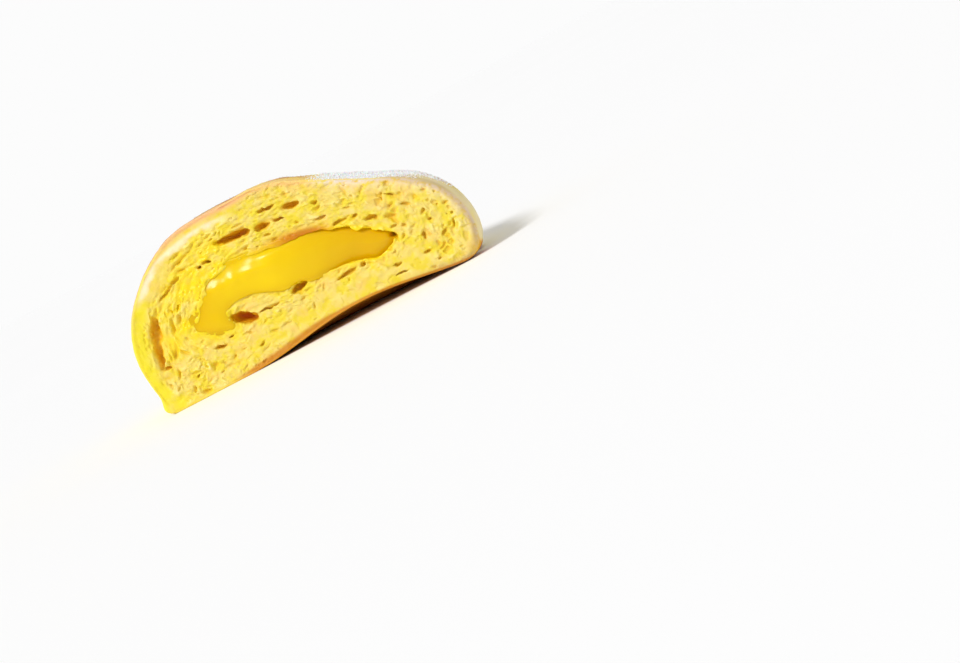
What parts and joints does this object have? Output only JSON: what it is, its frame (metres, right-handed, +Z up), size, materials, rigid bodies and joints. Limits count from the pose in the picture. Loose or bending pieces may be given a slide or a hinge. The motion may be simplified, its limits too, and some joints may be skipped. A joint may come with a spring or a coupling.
{
  "type": "cream-filled croissant",
  "caption": "Half of a soft rolled croissant, cut across to show its yellow crumb and a pocket of smooth custard, dusted with sugar.",
  "frame": {"origin": "middle of the half's footprint, at the level of the table it stands on", "axes": "+X along the width of the cut face, +Y from the cut face towards the croissant's tip, +Z up; the cut face looks along -Y"},
  "size_m": [0.0918, 0.078, 0.0407],
  "materials": {
    "baked_dough": "soft baked dough, satin outside and open matt crumb on the cut",
    "custard": "smooth wet custard"
  },
  "bodies": {
    "root": {"pastry": "baked_dough", "custard": "custard"}
  },
  "joints": []
}
